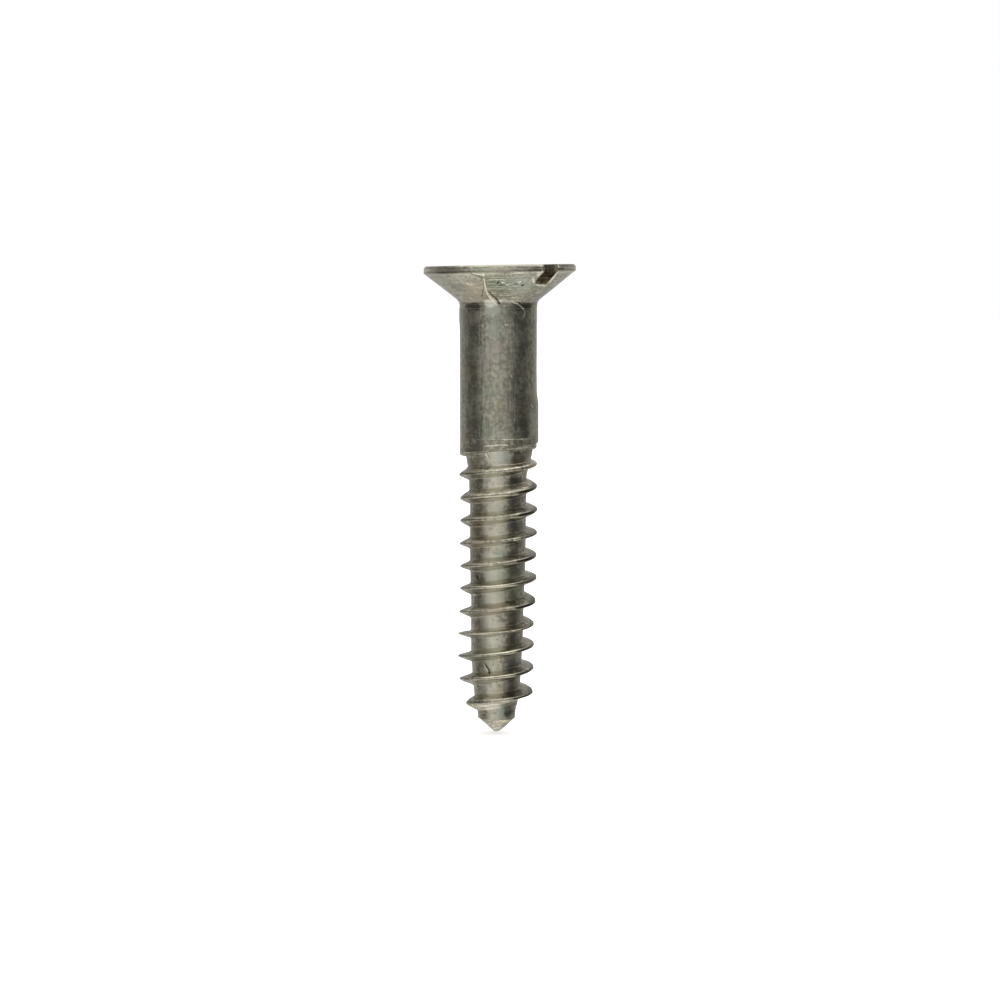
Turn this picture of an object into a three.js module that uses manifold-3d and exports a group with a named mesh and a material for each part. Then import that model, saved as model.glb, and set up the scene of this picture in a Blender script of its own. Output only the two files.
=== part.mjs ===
// Slotted countersunk wood screw, No. 8 x 1 inch, right-hand thread.
//
// Units are millimetres. +Z points out of the head along the screw's axis.
// The origin is the centre of the head's flat top, which is flush with the
// wood when the screw is driven home. The point is at Z = -LENGTH.
//
// The screw is one piece of steel. The group holds its four regions, which
// meet face to face on planes across the axis: the slotted head, the plain
// shank, the threaded section and the point.

import * as THREE from 'three';
import { mergeVertices } from 'three/addons/utils/BufferGeometryUtils.js';
import Module from 'manifold-3d';

// ---------------------------------------------------------------- dimensions

const LENGTH = 25.4;               // head top to tip: 1 inch

const HEAD_DIAMETER = 8.22;        // over the rim
const HEAD_LAND = 0.30;            // depth of the rim's lower edge below the top
const HEAD_EDGE = 0.12;            // chamfer at the rim's upper edge
const HEAD_CONE_BOTTOM = -1.80;    // where the countersink cone ends
const HEAD_CONE_BOTTOM_R = 2.31;   // its radius there
const HEAD_BOTTOM = -2.30;         // plane between head and shank

const SLOT_WIDTH = 0.98;
const SLOT_DEPTH = 1.04;
const SLOT_ANGLE = -48.5;          // direction of the slot in plan, degrees from +X
const SLOT_OFFSET = 0.06;          // the slot's centre plane misses the axis by this

const SHANK_DIAMETER = 4.166;
const SHANK_BOTTOM = -9.30;        // plane between shank and threaded section

const THREAD_PITCH = 1.237;        // single start, so this is also the lead
const THREAD_FIRST_CREST = -10.79; // height of the first crest at +X
const THREAD_CREST_FLAT = 0.13;    // width of the crest
const THREAD_UPPER_FLANK = 0.30;   // height of the flank above a crest
const THREAD_LOWER_FLANK = 0.25;   // height of the flank below a crest
const THREAD_BOTTOM = -24.62;      // plane between threaded section and point

const POINT_R = 0.97;              // radius of the point at its root
const POINT_TIP_R = 0.10;          // radius of the blunted tip
const POINT_TIP_HEIGHT = 0.06;

const AROUND = 48;                 // facets around the axis

// Radius of the core, by height.
const CORE = [
  [-9.3, 1.90], [-10.17, 1.83], [-10.79, 1.69], [-11.41, 1.55], [-12.0, 1.56],
  [-12.7, 1.51], [-15.5, 1.505], [-17.0, 1.465], [-18.2, 1.42], [-19.5, 1.39],
  [-20.7, 1.36], [-21.9, 1.30], [-22.6, 1.27], [-23.2, 1.22], [-23.8, 1.08],
  [-24.2, 1.0], [-24.62, POINT_R], [-27.0, POINT_R],
];

// Radius of the crest, by the number of turns down from the first crest.
const CREST = [
  [-3, SHANK_DIAMETER / 2], [-1, SHANK_DIAMETER / 2], [-0.3, 2.065], [0, 2.055], [4, 2.03], [8.5, 1.99],
  [9.5, 1.96], [10.0, 1.91], [10.3, 1.78], [10.53, 1.62], [10.85, 1.24], [11.1, 0.98], [14, 0.97],
];

// ------------------------------------------------------------------- helpers

const wasm = await Module();
wasm.setup();

function table(rows, x) {
  const up = rows[rows.length - 1][0] > rows[0][0];
  const list = up ? rows : [...rows].reverse();
  if (x <= list[0][0]) return list[0][1];
  for (let i = 1; i < list.length; i++) {
    const [x1, y1] = list[i];
    const [x0, y0] = list[i - 1];
    if (x <= x1) return y0 + ((y1 - y0) * (x - x0)) / (x1 - x0);
  }
  return list[list.length - 1][1];
}

function smooth(a, b, x) {
  const t = Math.min(1, Math.max(0, (x - a) / (b - a)));
  return t * t * (3 - 2 * t);
}

function solid(geometry) {
  const g = geometry.index ? geometry.clone() : geometry;
  g.deleteAttribute('normal');
  g.deleteAttribute('uv');
  const merged = mergeVertices(g, 1e-5);
  const mesh = new wasm.Mesh({
    numProp: 3,
    vertProperties: new Float32Array(merged.attributes.position.array),
    triVerts: new Uint32Array(merged.index.array),
  });
  return new wasm.Manifold(mesh);
}

// Turns a solid back into a geometry. Heights within a hair of one of the
// given planes are put exactly on it, so that neighbours share that plane.
function geometryOf(manifold, planes = []) {
  const mesh = manifold.getMesh();
  const n = mesh.numProp;
  const count = mesh.vertProperties.length / n;
  const position = new Float32Array(count * 3);
  for (let i = 0; i < count; i++) {
    for (let k = 0; k < 3; k++) position[3 * i + k] = mesh.vertProperties[n * i + k];
    for (const z of planes) {
      if (Math.abs(position[3 * i + 2] - z) < 2e-4) position[3 * i + 2] = z;
    }
  }
  const geometry = new THREE.BufferGeometry();
  geometry.setAttribute('position', new THREE.BufferAttribute(position, 3));
  geometry.setIndex(new THREE.BufferAttribute(new Uint32Array(mesh.triVerts), 1));
  geometry.computeVertexNormals();
  return geometry;
}

// A solid of revolution about Z from [radius, z] pairs that start and end on
// the axis and run upwards.
function turned(profile, around = AROUND) {
  const g = new THREE.LatheGeometry(profile.map(([r, z]) => new THREE.Vector2(r, z)), around);
  g.rotateX(Math.PI / 2);
  return g;
}

// --------------------------------------------------------------------- head

function headGeometry() {
  const r = HEAD_DIAMETER / 2;
  const shank = SHANK_DIAMETER / 2;
  const profile = [
    [0, HEAD_BOTTOM],
    [shank, HEAD_BOTTOM],
    [shank + 0.045, -2.08],
    [shank + 0.11, -1.92],
    [HEAD_CONE_BOTTOM_R, HEAD_CONE_BOTTOM],
    [r, -HEAD_LAND],
    [r, -HEAD_EDGE],
    [r - HEAD_EDGE, 0],
    [0, 0],
  ];
  const blank = solid(turned(profile));
  const cutter = new THREE.BoxGeometry(3 * HEAD_DIAMETER, SLOT_WIDTH, 2 * SLOT_DEPTH);
  cutter.translate(0, SLOT_OFFSET, 0);
  cutter.rotateZ(THREE.MathUtils.degToRad(SLOT_ANGLE));
  return geometryOf(blank.subtract(solid(cutter)), [0, -SLOT_DEPTH, HEAD_BOTTOM]);
}

// -------------------------------------------------------------------- shank

function shankGeometry() {
  const r = SHANK_DIAMETER / 2;
  return geometryOf(solid(turned([
    [0, SHANK_BOTTOM], [r, SHANK_BOTTOM], [r, HEAD_BOTTOM], [0, HEAD_BOTTOM],
  ])), [SHANK_BOTTOM, HEAD_BOTTOM]);
}

// --------------------------------------------------------- threaded section

// The surface is a strip of rows that climb with the thread, so each crest is
// one unbroken edge. A row is given by its distance below the first crest at
// +X, and it joins the row one pitch above it where a turn ends.
function threadGeometry() {
  const half = THREAD_CREST_FLAT / 2;
  const offsets = [
    [-half, true],
    [half, true],
    [half + THREAD_LOWER_FLANK, false],
    [THREAD_PITCH - half - THREAD_UPPER_FLANK, false],
  ];
  const perTurn = offsets.length;
  const firstTurn = -3;
  const lastTurn = 13;
  const rows = [];
  for (let turn = firstTurn; turn <= lastTurn; turn++) {
    for (const [offset, crest] of offsets) rows.push({ down: turn * THREAD_PITCH + offset, crest });
  }

  const radius = (row, angle) => {
    const z = THREAD_FIRST_CREST - row.down + (THREAD_PITCH * angle) / (2 * Math.PI);
    const turns = row.down / THREAD_PITCH - angle / (2 * Math.PI);
    const core = table(CORE, z);
    if (row.crest) return Math.max(core, table(CREST, turns));
    const crest = table(CREST, turns - 0.5);
    const start = smooth(-1.45, -0.95, turns);
    return crest + (core - crest) * start;
  };

  const positions = [];
  const index = [];
  const at = (i, j) => {
    // Column AROUND of a row is column 0 of the row one turn above it.
    if (j === AROUND && i >= perTurn) return at(i - perTurn, 0);
    return i * (AROUND + 1) + j;
  };
  rows.forEach((row) => {
    for (let j = 0; j <= AROUND; j++) {
      const angle = (2 * Math.PI * j) / AROUND;
      const z = THREAD_FIRST_CREST - row.down + (THREAD_PITCH * j) / AROUND;
      const r = radius(row, angle);
      positions.push(r * Math.cos(angle), r * Math.sin(angle), z);
    }
  });
  const last = rows.length - 1;
  for (let i = 0; i < last; i++) {
    for (let j = 0; j < AROUND; j++) {
      const a = at(i, j), b = at(i, j + 1), c = at(i + 1, j + 1), d = at(i + 1, j);
      index.push(a, c, b, a, d, c);
    }
  }
  // Ends: fans from the axis to the open edge, which is one turn of the first
  // or last row and the step where that turn ends. Both are cut away below.
  const top = [];
  for (let j = 0; j <= AROUND; j++) top.push(at(0, j));
  for (let i = 1; i < perTurn; i++) top.push(at(i, AROUND));
  const bottom = [];
  for (let j = 0; j <= AROUND; j++) bottom.push(at(last, j));
  for (let i = last - perTurn + 1; i < last; i++) bottom.push(at(i, 0));
  const fan = (loop, z, flip) => {
    const centre = positions.length / 3;
    positions.push(0, 0, z);
    loop.forEach((v, k) => {
      const w = loop[(k + 1) % loop.length];
      if (flip) index.push(centre, w, v);
      else index.push(centre, v, w);
    });
  };
  fan(top, THREAD_FIRST_CREST - rows[0].down + THREAD_PITCH / 2, false);
  fan(bottom, THREAD_FIRST_CREST - rows[last].down + THREAD_PITCH / 2, true);

  const strip = new THREE.BufferGeometry();
  strip.setAttribute('position', new THREE.Float32BufferAttribute(positions, 3));
  strip.setIndex(index);
  const keep = turned([
    [0, THREAD_BOTTOM], [6, THREAD_BOTTOM], [6, SHANK_BOTTOM], [0, SHANK_BOTTOM],
  ]);
  return geometryOf(solid(strip).intersect(solid(keep)), [THREAD_BOTTOM, SHANK_BOTTOM]);
}

// -------------------------------------------------------------------- point

function pointGeometry() {
  return geometryOf(solid(turned([
    [0, -LENGTH],
    [POINT_TIP_R, -LENGTH + POINT_TIP_HEIGHT],
    [POINT_R, THREAD_BOTTOM],
    [0, THREAD_BOTTOM],
  ])), [THREAD_BOTTOM]);
}

// ----------------------------------------------------------------- assembly

const steel = (color, roughness) => new THREE.MeshStandardMaterial({ color, roughness, metalness: 0.9 });

function region(name, geometry, material) {
  const mesh = new THREE.Mesh(geometry, material);
  mesh.name = name;
  return mesh;
}

const screw = new THREE.Group();
screw.add(
  region('head', headGeometry(), steel(0xa09f8c, 0.45)),
  region('shank', shankGeometry(), steel(0x8f8e7c, 0.35)),
  region('threaded_section', threadGeometry(), steel(0x9a9782, 0.40)),
  region('point', pointGeometry(), steel(0xa39f8a, 0.45)),
);

export default screw;
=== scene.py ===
"""A slotted countersunk wood screw, bare steel, standing in a pale studio.

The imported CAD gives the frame. The four pieces built here stand for its four
nodes and carry the fine surface: the rolled and burred thread crests, the
turned cone with its torn sliver, the drawn shank and the sawn slot.

Shapes are worked out in millimetres, with the screw's axis on Z and the head's
top at Z = 0, and go to metres when the meshes are made.
"""

import math

import bpy
import numpy as np
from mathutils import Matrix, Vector


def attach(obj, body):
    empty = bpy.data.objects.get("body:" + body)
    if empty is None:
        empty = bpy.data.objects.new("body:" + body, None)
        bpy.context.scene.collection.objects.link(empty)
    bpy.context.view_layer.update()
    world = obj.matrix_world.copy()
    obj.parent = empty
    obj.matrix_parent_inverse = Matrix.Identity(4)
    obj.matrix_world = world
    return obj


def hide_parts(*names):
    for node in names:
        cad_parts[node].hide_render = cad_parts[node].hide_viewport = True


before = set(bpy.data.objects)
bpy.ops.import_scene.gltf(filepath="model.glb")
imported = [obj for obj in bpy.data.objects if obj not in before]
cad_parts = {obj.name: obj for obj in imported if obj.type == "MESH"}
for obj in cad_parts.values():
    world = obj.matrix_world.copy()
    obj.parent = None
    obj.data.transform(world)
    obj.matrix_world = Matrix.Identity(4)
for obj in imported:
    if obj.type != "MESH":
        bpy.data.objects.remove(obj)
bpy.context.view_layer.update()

MM = 0.001

# ------------------------------------------------------------------ dimensions

HEAD_R = 4.11
HEAD_EDGE = 0.12
CONE_END_Z, CONE_END_R = -1.80, 2.33
HEAD_Z = -2.30
SLOT_W = 0.98
SLOT_DEPTH = 1.04
SLOT_ANGLE = math.radians(-48.5)
SLOT_OFFSET = 0.06
SHANK_R = 2.090
SHANK_Z = -9.30
PITCH = 1.237
CREST_Z = -10.79
THREAD_Z = -24.62
TIP_Z = -25.40
POINT_R = 0.97

# Sideways drift of the axis, by height: the screw has been used and is a
# little bent.
AXIS_X = ([-25.4, -22.5, -21.2, -18.2, -14.0, -11.0, -1.8, -1.5, -1.1, -0.3, 0.0],
          [-0.095, -0.080, -0.085, -0.035, -0.010, 0.0, 0.0, 0.010, 0.040, 0.075, 0.075])

# Core radius by height.
CORE = ([-27, -24.62, -24.35, -24.1, -23.8, -23.2, -22.6, -21.9, -20.7, -19.5, -18.2, -17.0, -15.5, -12.7,
         -12.0, -11.41, -11.05, -10.79, -10.4, -10.17, -10.07, -9.3],
        [0.985, 0.99, 1.01, 1.045, 1.13, 1.225, 1.28, 1.325, 1.395, 1.415, 1.43, 1.470, 1.505, 1.515,
         1.56, 1.56, 1.66, 1.735, 1.79, 1.84, 1.86, 1.92])

# The thread, by turns down from the first crest at +X: crest radius, shift of
# the crest along the axis, half-height widths of the flanks above and below
# the crest, and the flat below the crest.
TURN = [-1.5, -1, -0.5, 0, 0.5, 1, 1.5, 2, 2.5, 3, 3.5, 4, 4.5, 5, 5.5, 6, 6.5, 7, 7.5, 8, 8.5, 9, 9.5, 10,
        10.25, 10.5, 10.72, 11, 14]
CREST_R = [2.083, 2.083, 2.083, 2.095, 2.13, 2.115, 2.075, 2.125, 2.07, 2.121, 2.09, 2.09, 2.047, 2.105,
           2.054, 2.072, 2.077, 2, 2.13, 2.022, 2.125, 2.017, 2.04, 1.955, 1.83, 1.67, 1.34, 0.99, 0.97]
SHIFT = [0, 0, 0, -0.098, -0.075, -0.064, -0.035, -0.074, -0.065, -0.04, -0.035, -0.074, -0.045, -0.09,
         -0.08, -0.02, -0.04, 0.02, -0.085, -0.14, -0.09, -0.12, -0.08, 0.03, -0.06, 0.03, 0.04, 0.04, 0.04]
UP_W = [0.2, 0.2, 0.2, 0.14, 0.25, 0.25, 0.25, 0.215, 0.19, 0.150, 0.205, 0.20, 0.18, 0.18, 0.165, 0.25, 0.185,
        0.19, 0.13, 0.165, 0.145, 0.145, 0.16, 0.205, 0.24, 0.2, 0.2, 0.2, 0.2]
LOW_W = [0.05, 0.05, 0.06, 0.15, 0.16, 0.165, 0.20, 0.22, 0.22, 0.14, 0.16, 0.21, 0.17, 0.19, 0.19, 0.15, 0.18,
         0.105, 0.18, 0.135, 0.20, 0.16, 0.20, 0.155, 0.25, 0.25, 0.24, 0.2, 0.2]
LOW_FLAT = [0.3, 0.29, 0.1, 0.03, 0, 0, 0, 0.02, 0, 0, 0, 0.02, 0, 0.04, 0, 0.03, 0, 0, 0, 0.02, 0, 0.04, 0,
            0.04, 0.02, 0, 0, 0, 0]

# ----------------------------------------------------------------------- noise

_rng = np.random.default_rng(20)
_perm = _rng.permutation(256)
_perm = np.concatenate([_perm, _perm, _perm])
_grad = _rng.normal(size=(256, 3))
_grad /= np.linalg.norm(_grad, axis=1)[:, None]


def noise(x, y, z):
    """Gradient noise, about -1 to 1, for arrays of the same shape."""
    x, y, z = np.broadcast_arrays(np.asarray(x, float), np.asarray(y, float), np.asarray(z, float))
    xi, yi, zi = np.floor(x).astype(int), np.floor(y).astype(int), np.floor(z).astype(int)
    xf, yf, zf = x - xi, y - yi, z - zi
    u, v, w = (t * t * t * (t * (t * 6 - 15) + 10) for t in (xf, yf, zf))
    xi &= 255
    yi &= 255
    zi &= 255

    def corner(dx, dy, dz):
        h = _perm[_perm[_perm[xi + dx] + yi + dy] + zi + dz] & 255
        g = _grad[h]
        return g[..., 0] * (xf - dx) + g[..., 1] * (yf - dy) + g[..., 2] * (zf - dz)

    x00 = corner(0, 0, 0) * (1 - u) + corner(1, 0, 0) * u
    x10 = corner(0, 1, 0) * (1 - u) + corner(1, 1, 0) * u
    x01 = corner(0, 0, 1) * (1 - u) + corner(1, 0, 1) * u
    x11 = corner(0, 1, 1) * (1 - u) + corner(1, 1, 1) * u
    return 1.6 * ((x00 * (1 - v) + x10 * v) * (1 - w) + (x01 * (1 - v) + x11 * v) * w)


def fractal(x, y, z, octaves=3, fade=0.5):
    total, amp = 0.0, 1.0
    for k in range(octaves):
        total = total + amp * noise(x * 2**k + 17.3 * k, y * 2**k - 9.1 * k, z * 2**k + 5.7 * k)
        amp *= fade
    return total


def smooth(a, b, x):
    t = np.clip((np.asarray(x, float) - a) / (b - a), 0, 1)
    return t * t * (3 - 2 * t)


def bump(x, centre, width):
    return np.exp(-(((x - centre) / width) ** 2))


# ----------------------------------------------------------------------- marks

# Scratches, nicks and slivers on the front, each a line of (x, z) points as
# seen from the front, a half width, a height along the line and a dip beside it.
# side: +1 puts the dip to the right of the line's direction, -1 to the left.
MARKS = {
    "head": [
        # the torn sliver down the cone, from a smeared spot under the rim to the shank
        dict(pts=[(-1.46, -0.40), (-1.20, -0.46), (-0.98, -0.52), (-0.84, -0.56)], w=(0.03, 0.05), h=(0.012, 0.035),
             dip=0.018, side=1, reach=0.04),
        dict(pts=[(-0.86, -0.48), (-0.80, -0.60)], w=(0.075, 0.08), h=(0.04, 0.035), dip=0, side=1),
        dict(pts=[(-0.82, -0.68), (-0.77, -0.92), (-0.72, -1.13), (-0.66, -1.35), (-0.60, -1.51), (-0.52, -1.64),
                  (-0.40, -1.79), (-0.25, -1.93), (-0.09, -2.08)],
             w=(0.048, 0.065), h=(0.035, 0.06), dip=0.0, side=-1),
        dict(pts=[(-0.49, -1.43), (-0.37, -1.58), (-0.21, -1.71), (-0.04, -1.88), (0.08, -2.04)], w=(0.030, 0.028),
             h=(-0.06, -0.07), dip=0, side=1),
        dict(pts=[(-1.14, -0.62), (-0.98, -0.70), (-0.88, -0.72)], w=(0.02, 0.02), h=(-0.014, -0.014), dip=0, side=1),
        dict(pts=[(-1.24, -0.52), (-1.05, -0.60)], w=(0.02, 0.02), h=(-0.014, -0.014), dip=0, side=1),
        dict(pts=[(-0.86, -0.80), (-0.84, -1.29), (-0.86, -1.72)], w=(0.025, 0.025), h=(-0.010, -0.016), dip=0, side=1),
        dict(pts=[(-1.71, -0.95), (-1.66, -0.97)], w=(0.06, 0.06), h=(0.035, 0.035), dip=0, side=1),
        dict(pts=[(-1.60, -1.04), (-1.42, -1.03), (-1.28, -1.06)], w=(0.045, 0.03), h=(0.018, 0.01), dip=0, side=1),
        dict(pts=[(-0.52, -0.79), (-0.30, -0.78)], w=(0.035, 0.035), h=(0.018, 0.018), dip=0, side=1),
        dict(pts=[(-0.24, -0.79), (-0.06, -0.80)], w=(0.035, 0.035), h=(0.018, 0.018), dip=0, side=1),
        dict(pts=[(0.06, -0.79), (0.34, -0.81)], w=(0.035, 0.035), h=(0.02, 0.018), dip=0, side=1),
        dict(pts=[(0.50, -0.80), (0.66, -0.79)], w=(0.03, 0.03), h=(0.014, 0.012), dip=0, side=1),
        dict(pts=[(0.12, -0.93), (0.24, -0.96)], w=(0.055, 0.055), h=(0.032, 0.032), dip=0.01, side=1),
        dict(pts=[(0.34, -1.08), (0.52, -1.06)], w=(0.04, 0.04), h=(0.02, 0.02), dip=0, side=1),
        dict(pts=[(0.80, -1.02), (0.98, -1.00)], w=(0.03, 0.03), h=(-0.018, -0.018), dip=0, side=1),
        dict(pts=[(1.02, -0.98), (1.12, -0.90)], w=(0.05, 0.05), h=(0.026, 0.026), dip=0.01, side=1),
        dict(pts=[(-0.10, -0.98), (-0.05, -0.90)], w=(0.04, 0.04), h=(-0.026, -0.026), dip=0, side=1),
        dict(pts=[(0.02, -1.10), (0.20, -1.06)], w=(0.03, 0.03), h=(-0.016, -0.016), dip=0, side=1),
        dict(pts=[(1.20, -1.08), (1.28, -1.06)], w=(0.06, 0.06), h=(-0.018, -0.018), dip=0, side=1),
        dict(pts=[(2.05, -1.50), (2.30, -1.36)], w=(0.07, 0.06), h=(0.012, 0.012), dip=0, side=1),
        dict(pts=[(0.10, -1.62), (0.45, -1.61), (0.70, -1.63)], w=(0.03, 0.03), h=(0.014, 0.010), dip=0, side=1),
        # rolled edge where the cone meets the shank, at the left; its lighter colour is a painted reflection on the
        # real lip
        dict(pts=[(-2.10, -1.78), (-1.82, -1.88), (-1.50, -1.92), (-1.12, -1.89), (-0.85, -1.80), (-0.72, -1.64)],
             w=(0.05, 0.05), h=(0.009, 0.009), dip=0, side=1),
        # burrs along the saw cut
        dict(pts=[(2.86, -0.24), (3.00, -0.36), (3.03, -0.45), (2.93, -0.62), (2.80, -0.80), (2.70, -0.96)],
             w=(0.075, 0.050), h=(0.055, 0.035), dip=0, side=1),
        dict(pts=[(2.93, -0.12), (3.12, -0.15)], w=(0.07, 0.07), h=(0.02, 0.02), dip=0, side=1),
        dict(pts=[(3.12, -0.24), (3.40, -0.23)], w=(0.035, 0.03), h=(-0.02, -0.02), dip=0, side=1),
        dict(pts=[(2.20, -0.14), (2.25, -0.26), (2.24, -0.40)], w=(0.045, 0.045), h=(0.02, 0.02), dip=0, side=1),
        dict(pts=[(2.10, -0.46), (2.04, -0.60)], w=(0.10, 0.08), h=(0.018, 0.018), dip=0, side=1),
        dict(pts=[(1.78, -0.78), (1.84, -0.92)], w=(0.09, 0.08), h=(0.05, 0.04), dip=0, side=1),
        dict(pts=[(1.86, -1.02), (2.11, -1.10), (2.48, -1.12)], w=(0.05, 0.05), h=(0.026, 0.022), dip=0, side=1),
    ],
    "shank": [
        # crooked scratch under the head
        dict(pts=[(0.81, -1.98), (0.97, -2.02), (1.13, -2.12), (1.29, -2.28), (1.40, -2.42), (1.41, -2.59),
                  (1.35, -2.75)],
             w=(0.035, 0.045), h=(0.020, 0.030), dip=0.012, side=1),
        dict(pts=[(1.10, -1.98), (1.24, -2.10), (1.36, -2.14)], w=(0.03, 0.03), h=(-0.02, -0.03), dip=0, side=1),
        dict(pts=[(1.55, -2.4), (1.56, -2.6), (1.51, -2.80)], w=(0.025, 0.025), h=(0.014, 0.014), dip=0.0, side=1),
        dict(pts=[(0.38, -3.17), (0.54, -3.17)], w=(0.045, 0.035), h=(0.022, 0.022), dip=0.01, side=1),
        dict(pts=[(0.70, -5.88), (0.72, -5.93)], w=(0.04, 0.04), h=(0.02, 0.02), dip=0.01, side=1),
        dict(pts=[(1.73, -7.46), (1.84, -7.62)], w=(0.04, 0.05), h=(0.022, 0.022), dip=0.01, side=1),
        dict(pts=[(1.67, -8.57), (1.78, -8.57)], w=(0.04, 0.05), h=(0.016, 0.016), dip=0.0, side=1),
        dict(pts=[(-0.40, -3.90), (-0.40, -4.02)], w=(0.03, 0.03), h=(-0.014, -0.014), dip=0.0, side=1),
        dict(pts=[(-0.13, -7.98), (-0.12, -8.08)], w=(0.035, 0.03), h=(-0.016, -0.014), dip=0.0, side=1),
        dict(pts=[(1.34, -6.2), (1.38, -6.9)], w=(0.04, 0.03), h=(-0.008, -0.006), dip=0.0, side=1),
        dict(pts=[(-1.33, -3.2), (-1.30, -4.3)], w=(0.05, 0.04), h=(-0.006, -0.006), dip=0.0, side=1),
        # shallow ridges around, near the shank's end
        dict(pts=[(0.02, -8.96), (0.28, -8.93)], w=(0.03, 0.025), h=(0.006, 0.008), dip=0.004, side=-1),
        dict(pts=[(-1.0, -9.22), (-0.2, -9.15), (0.35, -9.08), (0.58, -9.17), (0.95, -9.16)], w=(0.03, 0.03),
             h=(0.003, 0.010), dip=0.005, side=-1),
    ],
    "thread": [
        dict(pts=[(-0.8, -9.66), (-0.1, -9.62), (0.28, -9.57), (0.50, -9.60)], w=(0.05, 0.05), h=(0.014, 0.045),
             dip=0.010, side=-1),
        dict(pts=[(-0.70, -10.08), (-0.62, -10.20), (-0.55, -10.32)], w=(0.040, 0.035), h=(0.05, 0.05), dip=0.016,
             side=-1),
        dict(pts=[(0.86, -14.72), (0.94, -14.80), (1.03, -14.88)], w=(0.04, 0.04), h=(0.05, 0.05), dip=0.04, side=1),
        dict(pts=[(0.75, -12.28), (0.90, -12.33), (1.08, -12.25)], w=(0.03, 0.03), h=(0.03, 0.03), dip=0.03, side=-1),
        # the crack between two turns near the end
        dict(pts=[(-0.66, -21.5), (-0.60, -21.62), (-0.47, -21.78), (-0.42, -21.98)], w=(0.035, 0.035),
             h=(-0.07, -0.06), dip=0.0, side=1),
        dict(pts=[(-1.14, -16.7), (-1.06, -16.95)], w=(0.04, 0.04), h=(-0.04, -0.04), dip=0.0, side=1),
    ],
    "point": [
        dict(pts=[(0.3, -24.72), (0.75, -24.70)], w=(0.03, 0.03), h=(0.014, 0.014), dip=0.008, side=1),
    ],
}


# Soft patches on the front, lighter or darker: partly stains, partly painted highlights, painted shade and painted
# reflections.
# Each is (x, z), the two half sizes, how much lighter or darker, and how much cooler.
PATCHES = [
    (-0.46, -2.00, 0.42, 0.22, 0.75, 0.0),
    (-0.34, -2.34, 0.38, 0.36, 0.42, 0.9),
    (-1.28, -2.20, 0.45, 0.22, -0.75, 0.0),
    (1.20, -2.22, 0.62, 0.24, -0.65, 0.2),
    (1.62, -2.10, 0.30, 0.16, -0.45, 0.0),
    (-0.20, -3.3, 0.40, 1.1, 0.05, 0.6),
    (-0.95, -5.6, 0.30, 1.6, 0.10, 0.3),
    (0.95, -6.6, 0.10, 1.3, -0.25, 0.0),
    (0.20, -7.0, 0.40, 0.9, 0.06, 0.0),
    (-1.35, -3.6, 0.12, 0.9, -0.25, 0.0),
    (-1.30, -8.0, 0.14, 0.8, -0.20, 0.0),
    (1.45, -8.6, 0.40, 0.6, -0.35, 0.0),
    (1.80, -8.6, 0.20, 0.95, 0.55, -0.2),
    (0.30, -10.26, 0.62, 0.34, 0.26, 0.9),
    (1.05, -10.35, 0.42, 0.34, -0.52, 0.1),
    (-1.15, -10.5, 0.22, 0.25, -0.30, -0.6),
    (-0.20, -11.75, 0.45, 0.28, 0.12, -0.3),
    (0.75, -11.6, 0.42, 0.28, -0.25, 0.0),
    (-0.20, -13.1, 0.40, 0.28, 0.0, 0.5),
    (0.70, -12.9, 0.35, 0.25, -0.10, 0.0),
    (-1.1, -14.2, 0.30, 0.35, -0.35, -0.5),
    (0.10, -15.6, 0.40, 0.40, -0.05, 0.7),
    (-1.0, -16.8, 0.30, 0.30, -0.4, -0.4),
    (0.65, -18.0, 0.30, 0.35, -0.05, -0.4),
    (-0.2, -19.2, 0.35, 0.30, 0.08, -0.4),
    (0.55, -20.4, 0.40, 0.30, -0.05, 0.1),
    (-0.95, -21.6, 0.30, 0.35, -0.45, -0.5),
    (0.75, -21.8, 0.30, 0.35, -0.12, 0.5),
    (0.80, -22.9, 0.30, 0.35, -0.12, 0.4),
    (0.10, -24.1, 0.24, 0.42, 0.10, 1.0),
    (0.48, -24.15, 0.22, 0.40, -0.60, 0.5),
    (-0.75, -24.4, 0.20, 0.25, -0.35, -0.5),
    (-0.15, -25.0, 0.30, 0.20, 0.15, -0.2),
    (0.36, -24.98, 0.26, 0.20, -0.32, 0.0),
    (-0.88, -24.18, 0.20, 0.36, -0.38, -0.5),
    (0.33, -24.12, 0.14, 0.36, -0.30, 0.6),
    (2.45, -1.35, 0.85, 0.40, -0.26, 0.1),
    (0.50, -1.93, 0.50, 0.10, 0.32, 0.0),
    (0.25, -9.05, 0.40, 0.34, 0.24, 0.0),
    (-1.3, -1.35, 0.75, 0.45, -0.10, -0.8),
    (0.7, -0.95, 1.2, 0.5, -0.02, 0.6),
]


def patches(x, y, z):
    tone, cool = np.zeros_like(x), np.zeros_like(x)
    for cx, cz, sx, sz, lift, cold in PATCHES:
        near = (y < 0.2) & (np.abs(x - cx) < 2.2 * sx) & (np.abs(z - cz) < 2.2 * sz)
        if not near.any():
            continue
        qx, qz = x[near], z[near]
        d = np.hypot((qx - cx) / sx, (qz - cz) / sz)
        d = d + 0.35 * fractal(qx * 3.1, qz * 3.1, cx + cz, 3)
        f = smooth(1.25, 0.55, d)
        tone[near] += lift * f
        cool[near] += cold * f
    return tone, cool


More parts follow.
